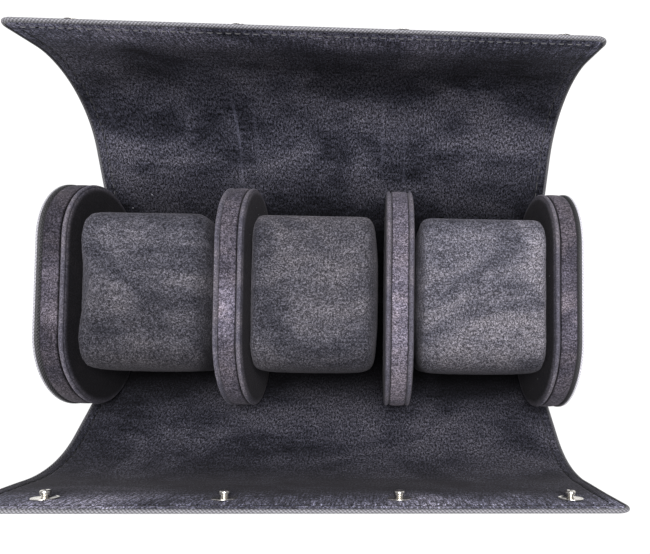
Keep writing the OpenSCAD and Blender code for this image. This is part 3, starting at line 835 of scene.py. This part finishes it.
class WATCHCASE_OT_leather(bpy.types.Operator):
    """Makes the outer leather of the wrap with its turned edges"""
    bl_idname = "watchcase.leather"
    bl_label = "Outer leather"

    def execute(self, context):
        look = context.scene.watch_case.leather
        turn_in = (EDGE_R * math.pi + HEM_END - EDGE_R) * MM
        for flap, (route, end, side, pieces) in FLAPS.items():
            skin = cross_grain(f"{flap}_outer_leather", look.colour, end)
            for piece, part, n in laid_on(flap, "leather", leather_piece, skin, "leather_outer"):
                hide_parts(f"{flap}_flap_{n}_leather", f"{flap}_flap_{n}_board")
                if n == 1 and flap == "back":
                    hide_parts("base_leather", "base_board")
                long = (part.s1 - part.s0) * MM + (turn_in if at_edge(part.s1, end) else 0)
        return {"FINISHED"}


class WATCHCASE_OT_lining(bpy.types.Operator):
    """Makes the suede lining of the wrap"""
    bl_idname = "watchcase.lining"
    bl_label = "Suede lining"

    def execute(self, context):
        look = context.scene.watch_case.suede
        for flap, (route, end, side, pieces) in FLAPS.items():
            shade, offset = (back_shade, 0.31) if side > 0 else (front_shade, 0.57)
            nap = suede(f"{flap}_lining_suede", look.lining, 0.8, 1.5, offset, 0.042, shade,
                        sheet=True)
            for piece, part, n in laid_on(flap, "lining", lining_piece, nap, "suede"):
                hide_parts(f"{flap}_flap_{n}_lining")
                if n == 1 and flap == "back":
                    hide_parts("base_lining")
                long = part.s1 - part.s0 - (LINING_IN if at_edge(part.s1, end) else 0)
        return {"FINISHED"}


class WATCHCASE_OT_stitching(bpy.types.Operator):
    """Sews round the edges of the wrap, on both of its sides"""
    bl_idname = "watchcase.stitching"
    bl_label = "Stitching"

    def execute(self, context):
        look = context.scene.watch_case.leather

        def sewn(name, flap, s0, s1):
            return seam_piece(name, flap, s0, s1, look.stitch_inset, look.stitch_pitch,
                              look.stitch_length, look.thread_size)

        for flap, strength in (("back", 1.0), ("front", 0.07)):
            thread = thread_finish(f"{flap}_sewing_thread", [c * strength for c in look.thread])
            list(laid_on(flap, "stitches", sewn, thread, "leather_outer"))
        return {"FINISHED"}


class WATCHCASE_OT_discs(bpy.types.Operator):
    """Makes the covered panels and strips of the four discs"""
    bl_idname = "watchcase.discs"
    bl_label = "Discs"

    def execute(self, context):
        look = context.scene.watch_case
        skin = cross_grain("disc_leather", look.leather.colour)
        for number, (name, joint, strip_painted_light) in enumerate(DISCS):
            left = number * PITCH - HALF_W
            middle = left + DISC_T / 2
            nap = suede(f"{name}_panel_suede", look.suede.disc, 0.3, 0.7, 0.13 + 0.21 * number,
                        0.02, rim_shade)
            # painted light: each strip's copy of the same suede is made lighter or darker
            band = suede(f"{name}_strip_suede", [c * strip_painted_light for c in look.suede.strip], 0.35, 1.15,
                         0.23 + 0.21 * number, 0.02,
                         lambda p, value: strip_shade(p, value, middle))
            for part, x, facing in (("left_panel", left, -1), ("right_panel", left + DISC_T, 1)):
                outer = (number, facing) in ((0, -1), (3, 1))
                piece = panel_piece(f"{name}_{part}_cover", x, facing, outer)
                finished(piece, *((skin, "leather_outer") if outer else (nap, "suede")), "base",
                         [f"{name}_{part}"])
            strip = strip_piece(f"{name}_strip_cover", middle, joint)
            finished(strip, band, "suede", "base", [f"{name}_strip", f"{name}_core"])
        return {"FINISHED"}


def filled_by_cloth(piece, pressure, frames, swell):
    """Fills a closed cover: it is remeshed, blown out as cloth, and no point may move further than
    swell."""
    scene = bpy.context.scene
    remesh = piece.modifiers.new("Even mesh", "REMESH")
    remesh.mode, remesh.voxel_size = "VOXEL", 0.0035
    depsgraph = bpy.context.evaluated_depsgraph_get()
    even = bpy.data.meshes.new_from_object(piece.evaluated_get(depsgraph))
    piece.modifiers.clear()
    piece.data = even
    before = np.empty(len(even.vertices) * 3, np.float32)
    even.vertices.foreach_get("co", before)
    cloth = piece.modifiers.new("Cover", "CLOTH")
    cloth.settings.effector_weights.gravity = 0
    for key, value in (("quality", 5), ("mass", 0.3), ("use_pressure", True),
                       ("uniform_pressure_force", pressure), ("tension_stiffness", 15),
                       ("compression_stiffness", 15), ("bending_stiffness", 0.5)):
        setattr(cloth.settings, key, value)
    for step in range(1, frames + 1):
        scene.frame_set(step)
    depsgraph = bpy.context.evaluated_depsgraph_get()
    settled = piece.evaluated_get(depsgraph).to_mesh()
    after = np.empty(len(settled.vertices) * 3, np.float32)
    settled.vertices.foreach_get("co", after)
    piece.evaluated_get(depsgraph).to_mesh_clear()
    piece.modifiers.clear()
    scene.frame_set(1)
    move = after.reshape(-1, 3) - before.reshape(-1, 3)
    length = np.linalg.norm(move, axis=1, keepdims=True)
    move *= np.minimum(1.0, swell * MM / np.maximum(length, 1e-9))
    even.vertices.foreach_set("co", (before.reshape(-1, 3) + move).astype(np.float32).ravel())
    even.update()


class WATCHCASE_OT_pillows(bpy.types.Operator):
    """Makes the three watch pillows and fills them by cloth simulation"""
    bl_idname = "watchcase.pillows"
    bl_label = "Pillows"

    def execute(self, context):
        look = context.scene.watch_case
        for number, (left, right) in enumerate(PILLOW_X):
            centre = np.array([(left + right) / 2, 0.0, PILLOW_Z])
            size = [v - 2 * COVER_IN for v in (right - left, PILLOW_L, PILLOW_H)]
            points, quads = pillow_form(size, 11.5, 2.8)
            name = f"pillow_{number + 1}"
            piece = new_piece(f"{name}_suede", (points + centre) * MM, quads)
            filled_by_cloth(piece, look.pillow.pressure, look.pillow.frames, look.pillow.swell)
            rounded(piece)
            piece.data.polygons.foreach_set("use_smooth", np.ones(len(piece.data.polygons), bool))
            # painted light: each pillow's copy of the same suede is made lighter or darker
            bright, lighter = PILLOW_PAINTED_LIGHT[number]
            nap = suede(f"{name}_nap", [c * bright for c in look.suede.pillow], 0.6, 1.2,
                        0.83 + 0.37 * number, 0.036,
                        lambda p, value: pillow_shade(p, value, lighter))
            finished(piece, nap, "suede", name, [f"{name}_cover", f"{name}_foam"])
        return {"FINISHED"}


class WATCHCASE_OT_snaps(bpy.types.Operator):
    """Makes the ball studs, their caps and the sockets"""
    bl_idname = "watchcase.snaps"
    bl_label = "Snaps"

    def execute(self, context):
        look = context.scene.watch_case
        metal = nickel("nickel_plate", look.snap.colour)
        on, up = snap_row("front", STUD_AT, 0.0, -1.0)
        lean = up + STUD_LEAN
        lean /= np.linalg.norm(lean, axis=1, keepdims=True)
        back = on - wrap_depth(FRONT_END - STUD_AT) * up
        sockets = snap_row("back", SOCKET_AT, wrap_depth(BACK_END - SOCKET_AT), 1.0)
        for name, profile, places, axes, body, stands_for in (
                ("ball_studs", STUD, on, lean, "front_flap_4", ["snap_studs"]),
                ("snap_caps", CAP, back, -up, "front_flap_4", ["stud_caps"]),
                ("sockets", SOCKET, *sockets, "back_flap_3",
                 ["snap_sockets", "socket_springs", "socket_eyelets"])):
            piece = turned_piece(name, profile, places, axes)
            finished(piece, metal, "metal", body, stands_for)
        return {"FINISHED"}


CAMERA_AT = (25.5, -30.5, 259.6)
CAMERA_TURN = (2.01, -1.92, 0.61)       # degrees about x, y and z, the first one outermost
CAMERA_SHIFT = (-0.1052, 0.1095)
FLOOR_REACH = 3.0
LAMP_SIZE = 0.6
LAMP_AIM = (0, 0, 0.03)
WHITE = (1.0, 1.0, 1.0, 1.0)
FLOOR_WHITE = 0.72    # how far the floor is seen as plain white


class WATCHCASE_OT_stage(bpy.types.Operator):
    """Sets the floor, the lamps and the camera"""
    bl_idname = "watchcase.stage"
    bl_label = "Stage"

    def execute(self, context):
        look = context.scene.watch_case.stage
        scene = context.scene
        data = bpy.data.cameras.new("camera")
        data.sensor_width, data.lens = 36.0, look.lens
        data.shift_x, data.shift_y = CAMERA_SHIFT
        data.clip_start = 0.01
        camera = bpy.data.objects.new("camera", data)
        scene.collection.objects.link(camera)
        camera.matrix_world = Matrix.Translation(Vector(CAMERA_AT) * MM)
        for axis, degrees in zip("XYZ", CAMERA_TURN):
            camera.matrix_world @= Matrix.Rotation(math.radians(degrees), 4, axis)
        scene.camera = camera
        x, y = np.meshgrid(*[np.linspace(-FLOOR_REACH, FLOOR_REACH, 3)] * 2)
        floor = new_piece("floor", np.stack([x, y, 0 * x], -1), grid_quads(3, 3),
                          outward=np.broadcast_to([0.0, 0, 1], (3, 3, 3)))
        p = Paint("pale_floor")
        p.set(Base_Color=(0.86, 0.86, 0.87, 1.0), Roughness=0.9, Specular_IOR_Level=0.1)
        path = p.tree.nodes.new("ShaderNodeLightPath")
        seen = reduce(Wire.most, [Wire(p, path.outputs[f"Is {kind} Ray"])
                                  for kind in ("Camera", "Glossy", "Transmission")])
        white = p.node("ShaderNodeEmission", {}, {"Color": WHITE, "Strength": 1.0})
        matte = Wire(p, p.shader.outputs[0])
        mixed = p.node("ShaderNodeMixShader", {}, (seen * FLOOR_WHITE, matte, white))
        p.tree.links.new(mixed.socket, p.tree.nodes["Material Output"].inputs["Surface"])
        floor.data.materials.append(p.material)
        for name, place, power in (("lamp_over", (0.05, 0.1, 1.1), look.lamp),
                                   ("lamp_side", (-0.8, -0.5, 0.7), look.lamp * 0.12)):
            lamp = bpy.data.lights.new(name, "AREA")
            lamp.shape, lamp.size, lamp.energy = "SQUARE", LAMP_SIZE, power
            holder = bpy.data.objects.new(name, lamp)
            scene.collection.objects.link(holder)
            holder.location = place
            aimed = (Vector(place) - Vector(LAMP_AIM)).to_track_quat("Z", "Y")
            holder.rotation_euler = aimed.to_euler()
        world = scene.world or bpy.data.worlds.new("surroundings")
        scene.world = world
        world.use_nodes = True
        nodes, links = world.node_tree.nodes, world.node_tree.links
        nodes.clear()
        ray, sky, clear, join, out = (
            nodes.new(f"ShaderNode{kind}")
            for kind in ("LightPath", "Background", "Background", "MixShader", "OutputWorld"))
        sky.inputs["Color"].default_value = clear.inputs["Color"].default_value = WHITE
        sky.inputs["Strength"].default_value = look.sky
        for end, start in ((join.inputs[0], ray.outputs["Is Camera Ray"]),
                           (join.inputs[1], sky.outputs[0]), (join.inputs[2], clear.outputs[0]),
                           (out.inputs["Surface"], join.outputs[0])):
            links.new(start, end)
        scene.view_settings.view_transform = "Standard"
        return {"FINISHED"}


class WATCHCASE_PT_panel(bpy.types.Panel):
    """Lists the steps that make the case"""
    bl_idname = "WATCHCASE_PT_panel"
    bl_label = "Watch Case"
    bl_space_type = "VIEW_3D"
    bl_region_type = "UI"
    bl_category = "Watch Case"

    def draw(self, context):
        for step in STEPS:
            self.layout.operator(step.bl_idname)


STEPS = (WATCHCASE_OT_stage, WATCHCASE_OT_leather, WATCHCASE_OT_lining, WATCHCASE_OT_stitching,
         WATCHCASE_OT_discs, WATCHCASE_OT_pillows, WATCHCASE_OT_snaps)
CLASSES = (LeatherSettings, SuedeSettings, PillowSettings, SnapSettings, StageSettings,
           CaseSettings, *STEPS, WATCHCASE_PT_panel)


def register():
    for cls in CLASSES:
        bpy.utils.register_class(cls)
    bpy.types.Scene.watch_case = PointerProperty(type=CaseSettings)


def unregister():
    del bpy.types.Scene.watch_case
    for cls in reversed(CLASSES):
        bpy.utils.unregister_class(cls)


def main():
    register()
    for step in ("stage", "leather", "lining", "stitching", "discs", "pillows", "snaps"):
        getattr(bpy.ops.watchcase, step)()


if __name__ == "__main__":
    main()
